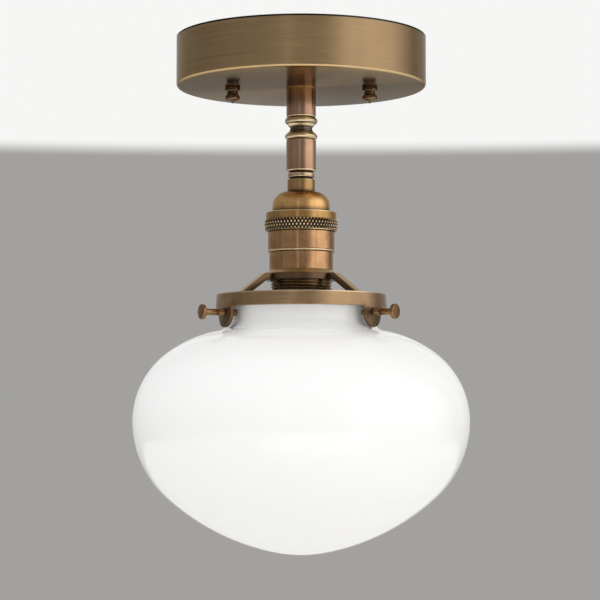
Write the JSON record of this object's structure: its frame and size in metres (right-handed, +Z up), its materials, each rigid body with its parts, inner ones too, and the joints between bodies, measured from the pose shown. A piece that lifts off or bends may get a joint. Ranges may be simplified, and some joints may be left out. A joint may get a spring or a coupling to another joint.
{
  "type": "globe pendant light",
  "caption": "Semi-flush ceiling light: brass canopy, turned stem, lampholder with a union ring, three-armed shade holder with thumbscrews and a round opal glass globe",
  "frame": {"origin": "middle of the bracket's top face, on the ceiling, on the light's axis", "axes": "+Z up into the ceiling, the bracket's slots lie along Y, the canopy's two knobs along X"},
  "size_m": [0.17, 0.17, 0.2623],
  "materials": {
    "satin_brass": "satin brushed brass, lacquered, slightly aged",
    "aged_brass": "dark aged brass, smooth",
    "copper_bronze": "warm pinkish bronze, smooth turned",
    "plain_brass": "plain rolled brass, unfinished",
    "zinc_steel": "zinc plated steel, dull",
    "green_screw": "green dyed steel",
    "porcelain": "white glazed porcelain",
    "fibre": "brown vulcanised fibre",
    "opal_glass": "white opal glass, glossy",
    "clear_glass": "clear glass",
    "black_glass": "black vitrified glass",
    "solder": "dull solder",
    "nickel": "thin plated metal",
    "filament": "yellow phosphor coat",
    "black_lead": "black insulation",
    "white_lead": "white insulation",
    "green_lead": "green insulation",
    "connector": "moulded plastic, orange"
  },
  "bodies": {
    "ceiling_bracket": {"box_strap": "zinc_steel", "strap_eyelet": "plain_brass", "earth_screw": "green_screw"},
    "canopy_and_stem": {"stud_strap": "zinc_steel", "canopy_screws": "zinc_steel", "stud_nuts": "zinc_steel", "canopy": "satin_brass", "canopy_nipple": "zinc_steel", "canopy_lock_washer": "zinc_steel", "canopy_lock_nut": "plain_brass", "stem_upper_tube": "copper_bronze", "stem_spindle": "aged_brass", "stem_lower_tube": "copper_bronze", "stem_nipple": "zinc_steel", "check_ring": "copper_bronze", "lampholder_cap": "aged_brass", "cap_set_screw": "zinc_steel", "live_lead": "black_lead", "neutral_lead": "white_lead", "earth_lead": "green_lead", "wire_connectors": "connector"},
    "left_knob_travel": {"knob_washer_left": "aged_brass"},
    "left_knob": {"canopy_knob_left": "aged_brass"},
    "right_knob_travel": {"knob_washer_right": "aged_brass"},
    "right_knob": {"canopy_knob_right": "aged_brass"},
    "union_ring_body": {"union_ring": "aged_brass"},
    "lampholder": {"lampholder_barrel": "satin_brass", "insulating_liner": "fibre", "porcelain_insert": "porcelain", "terminal_plates": "plain_brass", "terminal_screws": "plain_brass", "socket_rivets": "plain_brass", "screw_shell": "plain_brass", "centre_contact": "plain_brass"},
    "globe": {"glass_globe": "opal_glass"},
    "holder": {"shade_holder": "satin_brass"},
    "bulb_travel": {"bulb_insulator": "black_glass", "bulb_tip_contact": "solder"},
    "bulb": {"bulb_base_shell": "nickel", "bulb_glass": "clear_glass", "bulb_stem": "clear_glass", "filament_supports": "zinc_steel", "bulb_filaments": "filament"},
    "back_thumbscrew_travel": {"thumbscrew_shank_back": "aged_brass"},
    "back_thumbscrew": {"thumbscrew_head_back": "satin_brass"},
    "left_thumbscrew_travel": {"thumbscrew_shank_left": "aged_brass"},
    "left_thumbscrew": {"thumbscrew_head_left": "satin_brass"},
    "right_thumbscrew_travel": {"thumbscrew_shank_right": "aged_brass"},
    "right_thumbscrew": {"thumbscrew_head_right": "satin_brass"}
  },
  "joints": [
    {"name": "bracket_swivel", "type": "hinge", "parent": "ceiling_bracket", "child": "canopy_and_stem", "pos_m": [0, 0, -0.0025], "axis": [0, 0, 1], "range_deg": [-45, 45]},
    {"name": "left_knob_travel", "type": "slide", "parent": "canopy_and_stem", "child": "left_knob_travel", "axis": [0, 0, -1], "range_m": [0, 0.00298]},
    {"name": "left_knob_turn", "type": "hinge", "parent": "left_knob_travel", "child": "left_knob", "pos_m": [-0.03492, 0, -0.03], "axis": [0, 0, -1], "range_deg": [0, 1350]},
    {"name": "right_knob_travel", "type": "slide", "parent": "canopy_and_stem", "child": "right_knob_travel", "axis": [0, 0, -1], "range_m": [0, 0.00298]},
    {"name": "right_knob_turn", "type": "hinge", "parent": "right_knob_travel", "child": "right_knob", "pos_m": [0.03492, 0, -0.03], "axis": [0, 0, -1], "range_deg": [0, 1350]},
    {"name": "union_ring_turn", "type": "hinge", "parent": "canopy_and_stem", "child": "union_ring_body", "pos_m": [0, 0, -0.095], "axis": [0, 0, 1], "range_deg": [0, 1980]},
    {"name": "lampholder_drop", "type": "slide", "parent": "canopy_and_stem", "child": "lampholder", "axis": [0, 0, -1], "range_m": [0, 0.00698], "deforming": ["live_lead", "neutral_lead"]},
    {"name": "holder_drop", "type": "slide", "parent": "lampholder", "child": "globe", "axis": [0, 0, -1], "range_m": [0, 0.01029]},
    {"name": "holder_turn", "type": "hinge", "parent": "globe", "child": "holder", "pos_m": [0, 0, -0.125], "axis": [0, 0, -1], "range_deg": [0, 2520]},
    {"name": "bulb_travel", "type": "slide", "parent": "lampholder", "child": "bulb_travel", "axis": [0, 0, -1], "range_m": [0, 0.01452]},
    {"name": "bulb_turn", "type": "hinge", "parent": "bulb_travel", "child": "bulb", "pos_m": [0, 0, -0.12], "axis": [0, 0, -1], "range_deg": [0, 1440]},
    {"name": "back_thumbscrew_travel", "type": "slide", "parent": "holder", "child": "back_thumbscrew_travel", "axis": [0.0523, 0.9986, 0], "range_m": [0, 0.00516]},
    {"name": "back_thumbscrew_turn", "type": "hinge", "parent": "back_thumbscrew_travel", "child": "back_thumbscrew", "pos_m": [0.00262, 0.04993, -0.14105], "axis": [0.0523, 0.9986, 0], "range_deg": [0, 2340]},
    {"name": "left_thumbscrew_travel", "type": "slide", "parent": "holder", "child": "left_thumbscrew_travel", "axis": [-0.891, -0.454, 0], "range_m": [0, 0.00516]},
    {"name": "left_thumbscrew_turn", "type": "hinge", "parent": "left_thumbscrew_travel", "child": "left_thumbscrew", "pos_m": [-0.04455, -0.0227, -0.14105], "axis": [-0.891, -0.454, 0], "range_deg": [0, 2340]},
    {"name": "right_thumbscrew_travel", "type": "slide", "parent": "holder", "child": "right_thumbscrew_travel", "axis": [0.8387, -0.5446, 0], "range_m": [0, 0.00516]},
    {"name": "right_thumbscrew_turn", "type": "hinge", "parent": "right_thumbscrew_travel", "child": "right_thumbscrew", "pos_m": [0.04193, -0.02723, -0.14105], "axis": [0.8387, -0.5446, 0], "range_deg": [0, 2340]}
  ],
  "couplings": [
    {"joint": "left_knob_turn", "follows": "left_knob_travel", "rad_per_m": 7913.3},
    {"joint": "right_knob_turn", "follows": "right_knob_travel", "rad_per_m": 7913.3},
    {"joint": "union_ring_turn", "follows": "lampholder_drop", "rad_per_m": 4947.4},
    {"joint": "holder_turn", "follows": "holder_drop", "rad_per_m": 4274.3},
    {"joint": "bulb_turn", "follows": "bulb_travel", "rad_per_m": 1730.9},
    {"joint": "back_thumbscrew_turn", "follows": "back_thumbscrew_travel", "rad_per_m": 7913.3},
    {"joint": "left_thumbscrew_turn", "follows": "left_thumbscrew_travel", "rad_per_m": 7913.3},
    {"joint": "right_thumbscrew_turn", "follows": "right_thumbscrew_travel", "rad_per_m": 7913.3}
  ]
}
